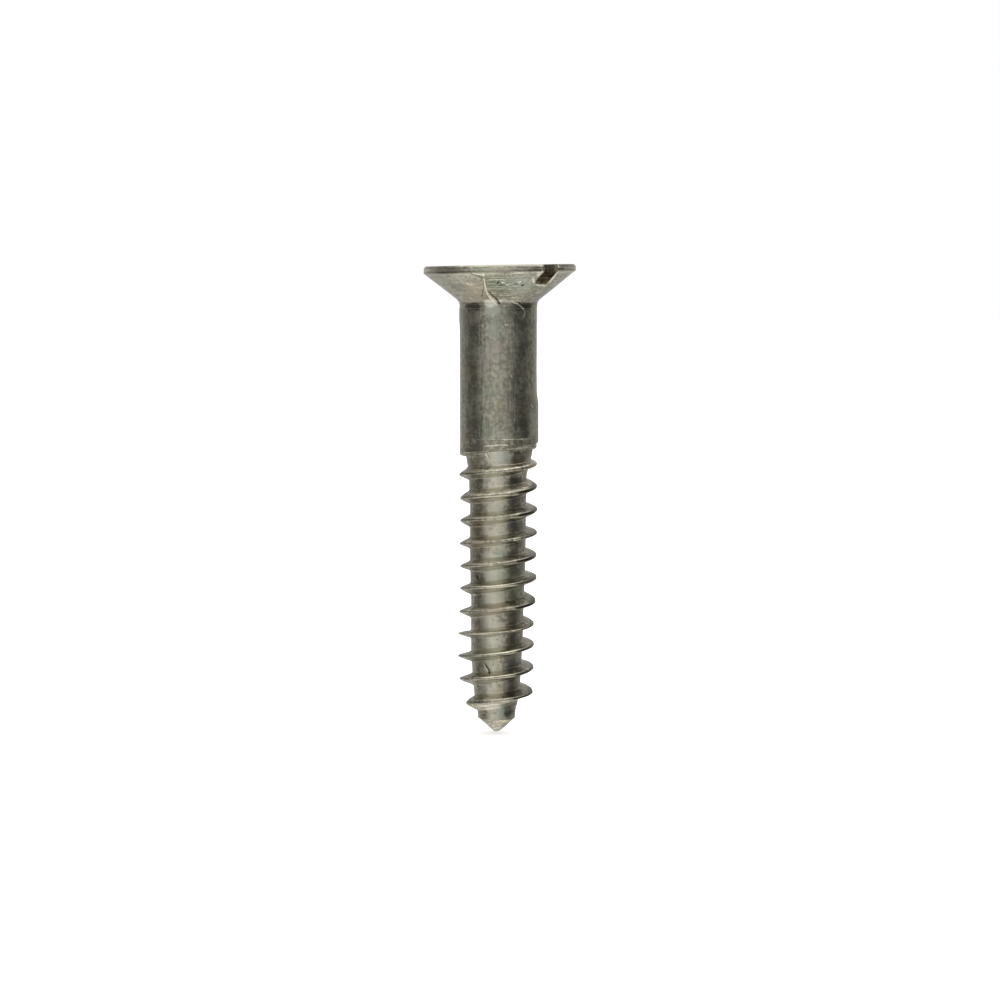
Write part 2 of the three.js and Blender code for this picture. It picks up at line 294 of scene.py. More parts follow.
def marks(x, y, z, names):
    """How far the marks push the surface out, and how bright (torn, fresh metal) or dark (painted shade in nicks and
    dips) it is, at points on the front.
    """
    out = np.zeros_like(x)
    fresh_and_painted_light = np.zeros_like(x)
    dark = np.zeros_like(x)
    front = y < 0.3
    for name in names:
        for m in MARKS[name]:
            pts = m["pts"]
            px = [p[0] for p in pts]
            pz = [p[1] for p in pts]
            reach = max(m["w"]) * 4 + 0.15
            near = front & (x > min(px) - reach) & (x < max(px) + reach) & (z > min(pz) - reach) & (z < max(pz) + reach)
            if not near.any():
                continue
            qx, qz = x[near], z[near]
            # a little waver, so that no mark is a ruled line
            wx = 0.018 * noise(qx * 9, qz * 9, 3.1)
            wz = 0.018 * noise(qx * 9, qz * 9, 8.4)
            qx, qz = qx + wx, qz + wz
            best = np.full(qx.shape, 1e9)
            signed = np.zeros_like(qx)
            along = np.zeros_like(qx)
            total = sum(math.dist(pts[i], pts[i + 1]) for i in range(len(pts) - 1))
            run = 0.0
            for (ax, az), (bx, bz) in zip(pts[:-1], pts[1:]):
                dx, dz = bx - ax, bz - az
                length = math.hypot(dx, dz)
                t = np.clip(((qx - ax) * dx + (qz - az) * dz) / length**2, 0, 1)
                ex, ez = qx - (ax + t * dx), qz - (az + t * dz)
                d = np.hypot(ex, ez)
                closer = d < best
                best = np.where(closer, d, best)
                side = (dx * ez - dz * ex) / length  # positive to the left
                signed = np.where(closer, side, signed)
                along = np.where(closer, (run + t * length) / total, along)
                run += length
            w = m["w"][0] + (m["w"][1] - m["w"][0]) * along
            h = m["h"][0] + (m["h"][1] - m["h"][0]) * along
            uneven = 0.8 + 0.35 * noise(qx * 14, qz * 14, 1.7)
            ridge = np.exp(-((best / w) ** 2)) * uneven
            beside = np.abs(best - 2.0 * w)
            offside = np.where(signed * -m["side"] > 0, 1.0, 0.0)
            dip = np.exp(-((beside / (m.get("reach", 0.8 * np.max(w)))) ** 2)) * offside
            out[near] += h * ridge - m["dip"] * dip
            worth = np.clip(np.abs(h) / 0.022, 0.15, 1.0)
            bright = np.where(h > 0, ridge * worth, 0.0)
            # painted shade: nicks that cut in, and the dip beside a raised mark, are darkened in colour
            darkening = np.where(h < 0, ridge * worth, 0.0) + 0.8 * dip * min(1.0, m["dip"] / 0.03)
            fresh_and_painted_light[near] = np.maximum(fresh_and_painted_light[near], bright)
            dark[near] = np.maximum(dark[near], darkening)
    return out, np.clip(fresh_and_painted_light - 1.3 * dark, -1, 1)


# ------------------------------------------------------------ surface of steel


def settle(x, y, z):
    """Moves points of the straight screw to where the bent and tilted one has them."""
    tilt = smooth(-2.2, -0.4, z)
    dz = 0.017 * x * tilt
    dx = np.interp(z, *AXIS_X)
    return x + dx, y, z + dz


def steel_grain(x, y, z, r):
    """Small unevenness that all of the steel has, in mm."""
    return 0.0035 * fractal(x * 1.6, y * 1.6, z * 1.1, 2) + 0.0016 * noise(x * 7, y * 7, z * 7)


def head_radius(z, a):
    """Radius of the head's outside at height z and angle a."""
    low = -0.355 + 0.025 * np.cos(a)  # lower edge of the upright band
    slope = 1.267
    cone_r = HEAD_R + slope * (z - low) * smooth(-1.75, -0.3, z) + slope * (z + 0.355) * (1 - smooth(-1.75, -0.3, z))
    fillet = SHANK_R + 0.115 * np.exp(np.minimum(z + 1.87, 0) / 0.11)
    k = 0.02
    body = k * np.log(np.exp(np.clip((cone_r - 2) / k, -50, 200)) + np.exp(np.clip((fillet - 2) / k, -50, 60))) + 2
    # a lip where the cone ends, at the left
    body = body + 0.018 * bump(z, -1.90, 0.035) * smooth(-0.6, -1.0, body * np.cos(a))
    # rings left by the lathe tool; the left part is smeared smooth
    x = body * np.cos(a)
    rough = 0.22 + 0.78 * smooth(-0.95, -0.55, x - 0.25 * (z + 1.0))
    ring = (
        np.sin(2 * math.pi * z / 0.121 + 0.9 * np.sin(a) + 1.6 * noise(np.cos(a) * 1.3, np.sin(a) * 1.3, z * 2))
        + 0.6 * np.sin(2 * math.pi * z / 0.077 + 1.7 + 1.2 * noise(np.cos(a) * 2.3, np.sin(a) * 2.3, z * 2))
    )
    on_cone = smooth(-0.36, -0.44, z) * smooth(-1.93, -1.75, z)
    patchy = 0.55 + 0.6 * noise(np.cos(a) * 7, np.sin(a) * 7, z * 5)
    body = body + 0.0050 * ring * rough * on_cone * patchy
    body = body + on_cone * rough * (
        0.010 * fractal(np.cos(a) * 10 * body / 3, np.sin(a) * 10 * body / 3, z * 10, 2)
    ) * (0.4 + 0.6 * bump(z, -0.95, 0.35))
    # the upright band, rounded above, with a rolled lip below
    top = np.clip((z + 0.19) / 0.19, 0, 1)
    band = HEAD_R - HEAD_EDGE * top**2.2 + 0.006 * noise(np.cos(a) * 9, np.sin(a) * 9, z * 12)
    band = band - 0.012 * bump(z, -0.255, 0.05)
    k = 0.010
    joined = -k * np.log(np.exp(-(band - 3.5) / k) + np.exp(-(np.minimum(body, 4.6) - 3.5) / k)) + 3.5
    lip = 0.012 * bump(z, low - 0.045, 0.035) * (0.7 + 0.5 * noise(np.cos(a) * 6, np.sin(a) * 6, 1.0))
    return np.where(z > -0.75, joined + lip, body)


def shank_radius(z, a):
    r = SHANK_R + 0.0 * z
    # the swelling at the right, above the thread
    away = np.angle(np.exp(1j * (a - 0.0)))
    r = r + 0.085 * np.exp(-((away / 0.75) ** 2)) * smooth(-6.7, -7.6, z) * smooth(-10.4, -9.3, z)
    r = r + 0.028 * np.exp(-((np.angle(np.exp(1j * (a - math.pi))) / 0.8) ** 2)) * smooth(-3.9, -2.4, z)
    # wire-drawing flats and shallow waves
    c, s = np.cos(a), np.sin(a)
    r = r + 0.009 * noise(c * 2.6, s * 2.6, z * 0.45) + 0.004 * noise(c * 6.5, s * 6.5, z * 1.1)
    r = r + 0.0022 * noise(c * 3, s * 3, z * 26) + 0.0014 * noise(c * 26, s * 26, z * 3)
    return r


def thread_radius(T, a):
    """Height z and radius of the thread's surface at T turns down the row that starts at +X, and angle a."""
    turn = a / (2 * math.pi)
    s = T - turn
    shift = np.interp(s, TURN, SHIFT)
    z = CREST_Z - PITCH * s - shift
    left = np.clip(-np.cos(a), 0, 1)
    core = np.interp(z, *CORE) - 0.045 * np.clip(np.cos(a), 0, 1) * bump(z, -11.1, 0.35)
    core = core + 0.014 * (1 - np.cos(a)) * smooth(-10.9, -11.8, z) - 0.045 * left * smooth(-11.6, -11.1, z) * smooth(-9.4, -10.0, z)
    g = np.floor(T + 1e-9)
    v = T - g
    s_up, s_low = g - turn, g + 1 - turn  # the crest above this groove, and the one below it
    mid = g + 0.5 - turn
    crest_a = np.interp(s_up, TURN, CREST_R)
    crest_b = np.interp(s_low, TURN, CREST_R)
    burr = lambda q, seed: (
        0.012 * noise(q * 9, 3.3 + seed, 0.5)
        + 0.010 * noise(q * 23, 1.3 + seed, 4.5)
        + 0.012 * np.clip(noise(q * 47, 7.7 + seed, 2.5) - 0.15, 0, 1)
    )
    real = smooth(-0.6, 0.2, s_up)
    crest_a = crest_a + burr(s_up, 0) * smooth(-0.4, 0.2, s_up) * smooth(11.0, 10.4, s_up)
    crest_b = crest_b + burr(s_low, 0) * smooth(-0.4, 0.2, s_low) * smooth(11.0, 10.4, s_low)
    round_a = 1.95 + 0.10 * np.cos(a)
    power = 1.40 - 0.25 * np.cos(a)
    half_way = (1 - 0.5 ** (1 / power)) ** (1 / round_a)
    flat = np.interp(s_up, TURN, LOW_FLAT) - 0.19 * smooth(-0.99, -0.88, s_up) * smooth(-0.50, -0.62, s_up)
    flat = np.maximum(flat, 0)
    w_low = np.interp(s_up, TURN, LOW_W) / half_way
    w_up = np.interp(s_low, TURN, UP_W) / half_way
    waver = 1 + 0.10 * noise(s * 5, 2.2, 9.1) + 0.05 * noise(s * 17, 5.2, 3.1)
    below = PITCH * v
    above = PITCH * (1 - v)
    ra = (1 - np.clip((below - flat) / (w_low * waver), 0, 1) ** round_a) ** power
    rb = (1 - np.clip(above / (w_up * waver), 0, 1) ** round_a) ** power
    # the crest is a narrow flat between two rolled lips
    half = 0.050 + 0.020 * np.cos(a) + 0.016 * noise(s * 7, 0.2, 6.1)
    lip = 0.020 * (0.75 + 0.6 * noise(s * 13, 8.1, 1.1))
    near_lip = lambda d, c: np.exp(-(((d - c) / 0.024) ** 2))
    for_crest = lambda d, c: -0.012 * np.exp(-((d / (0.6 * c)) ** 2)) + lip * near_lip(d, c)
    ha, hb = crest_a - core, crest_b - core
    on_a = smooth(-0.1, 0.5, s_up) * smooth(10.9, 10.3, s_up)
    on_b = smooth(-0.1, 0.5, s_low) * smooth(10.9, 10.3, s_low)
    detail_a = for_crest(below, half) * on_a
    detail_b = for_crest(above, half) * on_b
    r = core + np.maximum(ha * ra + detail_a * ra, hb * rb + detail_b * rb)
    # painted highlight along the crest lips, partly wear: brightest facing the front, faint at the sides and on the
    # first turn, broken up by noise
    worn = 0.55 + 0.9 * noise(s * 6.5, 4.4, 2.6) + 0.5 * noise(s * 19, 1.4, 7.6)
    shine = np.clip(worn, 0, 1) * np.maximum(near_lip(below, half) * on_a, near_lip(above, half) * on_b)
    shine = 0.9 * shine + 0.25 * np.exp(-((below / 0.03) ** 2)) * on_a * np.clip(worn, 0, 1)
    shine = shine * np.interp(np.cos(a), [-1, -0.85, -0.6, 0.3, 0.7, 1], [0.25, 0.45, 1, 1, 0.35, 0.15])
    first = smooth(0.50, 0.28, s_low) * smooth(-0.1, 0.0, s_low)
    shine = shine * (1 - 0.7 * np.maximum(first, smooth(0.50, 0.28, s_up) * smooth(-0.1, 0.0, s_up)))

    # painted shadow: a dark line under the crests of some turns, where the ridge overhangs; it is colour only, the
    # surface is not cut
    def undercut_shadow_at(q):
        part = q - np.round(q)
        deep = np.interp(np.round(q), np.arange(0, 12), [0.2, 0.75, 0.8, 0.3, 0.9, 0.35, 1.0, 0.35, 0.4, 0.45, 1.3, 0])
        return deep * smooth(0.045, 0.075, part) * smooth(0.185, 0.15, part)

    cut = np.maximum(undercut_shadow_at(s_up) * on_a * smooth(0.085, 0.065, below), undercut_shadow_at(s_low) * on_b * smooth(0.035, 0.02, above))
    shine = np.where(cut > 0.05, np.minimum(shine, 0) - cut, shine)
    # the groove opens out of the shank at the back
    start = smooth(-1.0, -0.55, mid)
    plain = shank_radius(z, a)
    r = plain * (1 - start) + np.minimum(r, plain + 0.03) * start
    r = np.where(s_up < -0.52, np.where((below < flat + 0.001), np.minimum(r, plain), r), r)
    # tool marks that run along the groove
    c, sn = np.cos(a), np.sin(a)
    root = 1 - np.clip(np.maximum(ra, rb), 0, 1)
    r = r + start * (0.0045 * noise(s * 3.0, v * 16, 0.4) + 0.0025 * noise(s * 9, v * 34, 6.0))
    r = r + start * root * 0.006 * fractal(c * 3.5, sn * 3.5, z * 2.2, 2)
    crest = np.maximum(ra * smooth(-0.3, 0.3, s_up), rb * smooth(-0.3, 0.3, s_low)) * smooth(11.2, 10.4, s)
    groove = root * start
    # painted light and shade on the flanks, lighter towards the front and darker at the sides and on the first turn; a
    # dull crest; painted shade in the crevices at the flanks' feet; a painted reflection across the grooves
    c = np.cos(a)
    uneven = 0.85 + 0.4 * noise(s * 4, v * 6, 2.0)
    foot_b = smooth(0.0, 0.08, rb) * smooth(0.80, 0.40, rb) * on_b
    top_b = smooth(0.40, 0.80, rb) * on_b
    painted_flank_light = foot_b * np.interp(c, [-1, -0.9, -0.75, -0.5, 0.6, 0.85, 1], [-0.55, -0.35, -0.05, 0.65, 0.80, 0.35, -0.40])
    painted_flank_light = painted_flank_light - 0.55 * first * np.maximum(top_b, foot_b)
    painted_flank_light = painted_flank_light + top_b * np.interp(c, [-1, -0.9, -0.6, 0.3, 0.6, 0.85, 1], [-0.60, -0.50, 0.05, 0.15, -0.35, -0.75, -0.80])
    foot_a = smooth(0.0, 0.08, ra) * smooth(0.95, 0.60, ra) * on_a
    painted_underside_light = foot_a * np.interp(c, [-1, -0.9, -0.7, -0.5, 0.05, 0.4, 1], [-0.40, -0.20, 0.40, 1.10, 1.05, -0.10, -0.40])
    darkening = np.maximum(ra * on_a, rb * on_b) ** 6
    crevice_shade = bump(below, w_low * 0.80, 0.05) * on_a * smooth(0.0, 0.4, c)
    crevice_shade = crevice_shade + 0.6 * bump(above, w_up * 0.95, 0.05) * on_b * smooth(-0.4, -0.8, c)
    tone = (painted_flank_light + painted_underside_light) * uneven - 0.25 * darkening
    tone = tone - 0.7 * crevice_shade * np.clip(0.5 + 1.2 * noise(s * 5, 9.1, 1.2), 0, 1)
    # painted reflection: lighter and darker streaks across the front of the grooves, by their place left to right
    across = np.interp(r * c, [-1.5, -1.35, -1.20, -1.00, -0.82, -0.55, -0.1, 0.25, 0.42, 0.58, 0.75, 0.92, 1.08, 1.3],
                       [-0.30, -0.22, -0.04, 0.00, 0.42, 0.46, 0.44, 0.30, -0.06, -0.36, -0.60, -0.50, -0.22, -0.22])
    tone = tone + across * groove * smooth(0.25, -0.15, np.sin(a)) * (0.9 + 0.45 * noise(s * 2.1, v * 2, 6.6))
    tone = tone - 0.20 * (1 - start)
    return z, r, crest, groove, shine, tone


def point_radius(z, a):
    r = np.interp(z, [-25.40, -25.39, -25.36, -25.33, -25.22, -24.67, -24.62], [0, 0.07, 0.14, 0.19, 0.325, 0.935, 0.99])
    c, s = np.cos(a), np.sin(a)
    fade = smooth(-25.4, -25.15, z) * smooth(-24.62, -24.68, z)
    return r + fade * (0.012 * noise(c * 1.4 * r, s * 1.4 * r, z * 1.5) + 0.006 * noise(c * 5 * r, s * 5 * r, z * 7))


# -------------------------------------------------------------- mesh assembly


class Parts:
    """Grids of points that share edges, welded into one closed mesh."""

    def __init__(self):
        self.points, self.fields, self.faces, self.flat = [], [], [], []
        self.count = 0

    def grid(self, p, fields=None, flip=False, flat=False, wrap=False):
        """p is rows by columns by 3. Faces look to the left of rows going down and columns going right."""
        rows, cols = p.shape[:2]
        index = np.arange(rows * cols).reshape(rows, cols) + self.count
        a, b, c, d = index[:-1, :-1], index[:-1, 1:], index[1:, 1:], index[1:, :-1]
        if wrap:
            a = index[:-1]
            d = index[1:]
            b = np.roll(a, -1, axis=1)
            c = np.roll(d, -1, axis=1)
        quad = np.stack([a, d, c, b] if not flip else [a, b, c, d], axis=-1).reshape(-1, 4)
        self.faces.append(quad)
        self.flat.append(np.full(len(quad), flat))
        self.points.append(p.reshape(-1, 3))
        f = np.zeros((rows * cols, 6)) if fields is None else fields.reshape(-1, 6)
        self.fields.append(f)
        self.count += rows * cols

    def mesh(self, name, weld=2e-5):
        points = np.concatenate(self.points)
        fields = np.concatenate(self.fields)
        faces = np.concatenate(self.faces)
        flat = np.concatenate(self.flat)
        # weld equal points
        key = np.round(points / weld).astype(np.int64)
        _, first, inverse = np.unique(key, axis=0, return_index=True, return_inverse=True)
        inverse = inverse.reshape(-1)
        points, fields = points[first], fields[first]
        faces = inverse[faces]
        loops, starts, totals, keep_flat = [], [], [], []
        at = 0
        out = []
        for f, fl in zip(faces, flat):
            q = [f[0]]
            for v in f[1:]:
                if v != q[-1]:
                    q.append(v)
            if q[0] == q[-1]:
                q.pop()
            if len(set(q)) >= 3:
                out.append(q)
                keep_flat.append(fl)
        me = bpy.data.meshes.new(name)
        sizes = np.array([len(q) for q in out], np.int32)
        me.vertices.add(len(points))
        me.vertices.foreach_set("co", (points * MM).astype(np.float32).ravel())
        me.loops.add(int(sizes.sum()))
        me.loops.foreach_set("vertex_index", np.concatenate([np.asarray(q, np.int32) for q in out]))
        me.polygons.add(len(out))
        me.polygons.foreach_set("loop_start", np.concatenate([[0], np.cumsum(sizes)[:-1]]).astype(np.int32))
        me.polygons.foreach_set("loop_total", sizes)
        me.update(calc_edges=True)
        me.polygons.foreach_set("use_smooth", ~np.array(keep_flat, bool))
        for k, label in enumerate(("fresh_and_painted_light", "crest", "groove", "slot", "tone", "cool")):
            attribute = me.attributes.new(label, "FLOAT", "POINT")
            attribute.data.foreach_set("value", fields[:, k].astype(np.float32))
        me.validate()
        me.update()
        return me


def place(r, a, z, names=()):
    """Points at radius r, angle a and height z, with grain and marks, settled. Returns points and the field of fresh
    metal and painted light and shade.
    """
    x, y = r * np.cos(a), r * np.sin(a)
    out = steel_grain(x, y, z, r)
    fresh_and_painted_light = np.zeros_like(x)
    if names:
        pushed, fresh_and_painted_light = marks(x, y, z, names)
        out = out + pushed
    r2 = np.maximum(r + out * smooth(0.0, 0.12, r), 0)
    x, y = r2 * np.cos(a), r2 * np.sin(a)
    x, y, z = settle(x, y, z)
    return np.stack([x, y, z], axis=-1), fresh_and_painted_light


def fields_of(p, fresh_and_painted_light=0.0, crest=0.0, groove=0.0, slot=0.0, tone=0.0):
    f = np.zeros(p.shape[:2] + (6,))
    f[..., 0], f[..., 1], f[..., 2], f[..., 3] = fresh_and_painted_light, crest, groove, slot
    f[..., 4], f[..., 5] = patches(p[..., 0], p[..., 1], p[..., 2])
    f[..., 4] += tone
    return f


def cap(parts, ring, centre, up):
    """A flat disc from a closed ring of points to a centre point."""
    p = np.stack([ring, np.broadcast_to(centre, ring.shape)])
    parts.grid(p, flip=not up, flat=True, wrap=True)


COLUMNS = 288
THREAD_COLUMNS = 232


def shank_piece():
    parts = Parts()
    a = np.arange(COLUMNS) * 2 * math.pi / COLUMNS
    z = np.linspace(HEAD_Z, SHANK_Z, 190)
    A, Z = np.meshgrid(a, z)
    p, fresh_and_painted_light = place(shank_radius(Z, A), A, Z, ("shank", "head"))
    parts.grid(p, fields_of(p, fresh_and_painted_light), wrap=True)
    top = np.array(settle(np.zeros(1), np.zeros(1), np.array([HEAD_Z]))).T[0]
    low = np.array(settle(np.zeros(1), np.zeros(1), np.array([SHANK_Z]))).T[0]
    cap(parts, p[0], top, True)
    cap(parts, p[-1], low, False)
    return parts.mesh("plain_shank")


def thread_piece():
    """Rows climb with the thread; a plane at each end trims them."""
    parts = Parts()
    step = np.concatenate([
        np.linspace(0, 0.17, 10), np.linspace(0.17, 0.83, 15)[1:-1], np.linspace(0.83, 1, 10),
    ])[:-1]
    first, last = -2, 13
    T = np.concatenate([k + step for k in range(first, last)])
    per = len(step)
    a = np.arange(THREAD_COLUMNS + 1) * 2 * math.pi / THREAD_COLUMNS
    A, TT = np.meshgrid(a, T)
    z, r, crest, groove, shine, tone = thread_radius(TT, A)
    p, fresh_and_painted_light = place(r, A, z, ("thread", "shank"))
    # the painted highlights and painted shadows of the crests join the marks' field
    fresh_and_painted_light = np.where(shine < 0, np.maximum(shine, -1), np.where(fresh_and_painted_light < -0.05, fresh_and_painted_light, np.maximum(fresh_and_painted_light, shine)))
    # a column past the last is the first column of the row one turn above
    p[per:, -1] = p[:-per, 0]
    parts.grid(p, fields_of(p, fresh_and_painted_light, crest, groove, tone=tone))
    me = parts.mesh("thread")
    # trim to the two planes, and close them
    import bmesh

    bm = bmesh.new()
    bm.from_mesh(me)
    for height, sign in ((SHANK_Z, 1), (THREAD_Z, -1)):
        geom = bm.verts[:] + bm.edges[:] + bm.faces[:]
        cut = bmesh.ops.bisect_plane(
            bm, geom=geom, plane_co=(0, 0, height * MM), plane_no=(0, 0, sign), clear_outer=True, dist=1e-9
        )
        rim = [e for e in cut["geom_cut"] if isinstance(e, bmesh.types.BMEdge) and e.is_valid and e.is_boundary]
        centre = bm.verts.new(
            (float(np.interp(height, *AXIS_X)) * MM, 0, height * MM)
        )
        for e in rim:
            u, v = e.verts
            f = bm.faces.new((u, v, centre))
            f.smooth = False
            f.normal_update()
            if f.normal.z * sign < 0:
                f.normal_flip()
            e.smooth = False
    bm.normal_update()
    bm.to_mesh(me)
    bm.free()
    me.update()
    return me


def point_piece():
    parts = Parts()
    a = np.arange(COLUMNS) * 2 * math.pi / COLUMNS
    z = np.concatenate([np.linspace(THREAD_Z, -24.70, 8)[:-1], np.linspace(-24.70, -25.3, 34)[:-1],
                        np.linspace(-25.3, TIP_Z, 12)])
    A, Z = np.meshgrid(a, z)
    p, fresh_and_painted_light = place(point_radius(Z, A), A, Z, ("point",))
    parts.grid(p, fields_of(p, fresh_and_painted_light), wrap=True)
    top = np.array(settle(np.zeros(1), np.zeros(1), np.array([THREAD_Z]))).T[0]
    cap(parts, p[0], top, True)
    return parts.mesh("screw_point")


def head_piece():
    parts = Parts()
    N, K = 230, 14
    half = SLOT_W / 2
    qa, qb = half + SLOT_OFFSET, -half + SLOT_OFFSET  # the walls' distances from the axis
    upper = np.array([0, -0.012, -0.03, -0.05, -0.075, -0.10, -0.125, -0.15, -0.17, -0.19, -0.21, -0.23, -0.25])
    z_up = np.concatenate([upper, np.linspace(-0.272, -SLOT_DEPTH, 36)])
    z_low = np.concatenate([[-SLOT_DEPTH], np.linspace(-1.063, HEAD_Z, 56)])

    def columns(z):
        """Angles of the four stretches of a row: half A, mouth B end, half B, mouth A end."""
        r = np.interp(z, [-2.3, CONE_END_Z, -0.3, -0.15, 0], [SHANK_R, CONE_END_R, HEAD_R, HEAD_R, HEAD_R - HEAD_EDGE])
        ta, tb = math.asin(qa / r), math.asin(-qb / r)
        half_a = np.linspace(ta, math.pi - ta, N + 1)
        mouth_1 = np.linspace(math.pi - ta, math.pi + tb, K + 1)
        half_b = np.linspace(math.pi + tb, 2 * math.pi - tb, N + 1)
        mouth_2 = np.linspace(2 * math.pi - tb, 2 * math.pi + ta, K + 1)
        return [s + SLOT_ANGLE for s in (half_a, mouth_1, half_b, mouth_2)]

    def rows(zs, which):
        A = np.array([columns(z)[which] for z in zs])
        Z = np.repeat(zs[:, None], A.shape[1], axis=1)
        A = np.angle(np.exp(1j * A))
        p, fresh_and_painted_light = place(head_radius(Z, A), A, Z, ("head", "shank"))
        low = -0.355 + 0.025 * np.cos(A)
        uneven = 0.75 + 0.5 * noise(np.cos(A) * 5, np.sin(A) * 5, 3.0)
        X = p[..., 0]
        # the weight below sets, by place across the head, how strong the painted shade along the foot of the upright
        # band is
        rim_shade_weight = np.interp(X, [-4.0, -3.5, -3.2, -2.3, -1.8, -1.2, 0.9, 1.4, 2.2, 2.8, 4],
                          [0.1, 0.3, 1.1, 1.0, 0.40, 0.25, 0.40, 1.1, 1.2, 0.5, 0.2])
        # painted shade: a dark line at the band's foot and on its rounded top; painted highlights: a light line below
        # it and across the band's middle
        tone = -0.95 * bump(Z, low + 0.005, 0.045) * uneven * rim_shade_weight + 0.55 * bump(Z, low - 0.11, 0.05) * uneven
        tone = tone + 0.55 * bump(Z, -0.21, 0.07) - 0.55 * smooth(-0.16, -0.08, Z) * smooth(-0.001, -0.03, Z)
        # painted highlight along the rolled lip under the band, stronger towards the right
        lip_highlight = bump(Z, low - 0.095, 0.040) * (0.25 + 0.75 * smooth(-1.0, -0.6, X)) * np.clip(0.55 + 0.9 * noise(
            np.cos(A) * 6, np.sin(A) * 6, 8.0), 0, 1)
        fresh_and_painted_light = np.where(fresh_and_painted_light < -0.05, fresh_and_painted_light, np.maximum(fresh_and_painted_light, 0.85 * lip_highlight))
        return p, fields_of(p, fresh_and_painted_light, tone=tone)

    up_a, f_a = rows(z_up, 0)
    up_b, f_b = rows(z_up, 2)
    parts.grid(up_a, f_a)
    parts.grid(up_b, f_b)
    low = [rows(z_low, k) for k in range(4)]
    for p, f in low:
        parts.grid(p, f)

    t = np.linspace(0, 1, N + 1)[None, :, None]

    def wall(start, end, sign, seed):
        """The slot's wall between two columns of the outside, with the saw's marks."""
        p = start[:, None] * (1 - t) + end[:, None] * t
        inside = np.sin(math.pi * t) ** 0.25
        rowf = np.sin(math.pi * np.linspace(0, 1, p.shape[0])) ** 0.3
        n = np.array([-math.sin(SLOT_ANGLE), math.cos(SLOT_ANGLE), 0.0]) * sign
        saw = 0.012 * noise(p[..., 2] * 9 + seed, t[..., 0] * 3.0, 2.0) + 0.006 * noise(p[..., 2] * 30, t[..., 0] * 9, seed)
        return p + (saw * inside[..., 0] * rowf[:, None])[..., None] * n

    wall_a = wall(up_a[:, 0], up_a[:, -1], 1, 1.0)
    wall_b = wall(up_b[:, 0], up_b[:, -1], -1, 5.0)
    def slot_shade(p, torn=0.0):
        tt, zz = t[..., 0] + 0 * p[..., 2], p[..., 2]
        worn = 0.45 * np.exp(-tt / 0.018) + 0.45 * np.exp(-(1 - tt) / 0.018)
        # the slot's colour goes towards rust brown, most in the middle depths and least at the mouth: partly rust,
        # partly painted shade in the recess
        depth = np.interp(zz, [-1.04, -0.88, -0.70, -0.32, -0.18, -0.04, 0.0], [0.55, 0.65, 0.98, 0.98, 0.85, 0.8, 0.0])
        fresh_and_painted_light = torn * np.exp(-((tt / (0.010 + 0.040 * smooth(-0.45, -0.25, zz))) ** 4)) * (
            0.85 + 0.5 * noise(zz * 9, tt * 30, 4.0))
        shade = depth * (1 - worn) * (0.9 + 0.3 * noise(zz * 7, tt * 40, 3.0)) * (1 - np.clip(fresh_and_painted_light, 0, 1))
        return fields_of(p, fresh_and_painted_light=fresh_and_painted_light, slot=shade)

    parts.grid(wall_a, slot_shade(wall_a, 0.9), flip=True)
    parts.grid(wall_b, slot_shade(wall_b), flip=True)

    # the floor, between the feet of the walls and the two mouths
    mouth_1, mouth_2 = low[1][0][0], low[3][0][0]  # from wall A to wall B, and from wall B to wall A
    floor = np.zeros((K + 1, N + 1, 3))
    for k in range(K + 1):
        if k == 0:
            floor[k] = wall_a[-1]
        elif k == K:
            floor[k] = wall_b[-1][::-1]
        else:
            start, end = mouth_2[K - k], mouth_1[k]
            tt = t[0]
            line = start * (1 - tt) + end * tt
            uneven = 0.010 * noise(line[:, 0] * 4, line[:, 1] * 4, 0.7) * np.sin(math.pi * tt[:, 0]) ** 0.3
            line = line.copy()
            inside = t[0][:, 0] * 6.4
            line[:, 2] += uneven + 0.20 * bump(inside, 0.42, 0.20) * math.sin(math.pi * k / K) ** 0.7
            floor[k] = line
    parts.grid(floor, fields_of(floor, slot=0.60), flip=True)

    # the top, in two halves
    M = 46
    across = (1 - (1 - np.linspace(0, 1, M + 1)) ** 1.0)[:, None, None]
    for edge, arc, seed in ((wall_a[0], up_a[0], 0.0), (wall_b[0], up_b[0], 4.0)):
        p = edge[None] * (1 - across) + arc[None] * across
        inner = np.sin(math.pi * across[..., 0]) ** 0.4 * np.sin(math.pi * t[..., 0]) ** 0.4
        r_here = np.hypot(p[..., 0], p[..., 1])
        rings = 0.0022 * np.sin(2 * math.pi * r_here / 0.17 + 1.5 * noise(p[..., 0], p[..., 1], 2.0))
        worn = 0.010 * fractal(p[..., 0] * 0.9, p[..., 1] * 0.9, seed, 3)
        p = p.copy()
        p[..., 2] += inner * (rings + worn - 0.004)
        parts.grid(p, fields_of(p), flip=True)

    ring = np.concatenate([q[0][-1][:-1] for q in low])
    centre = np.array(settle(np.zeros(1), np.zeros(1), np.array([HEAD_Z]))).T[0]
    cap(parts, ring, centre, False)
    return parts.mesh("screw_head")


# ------------------------------------------------------------------- materials


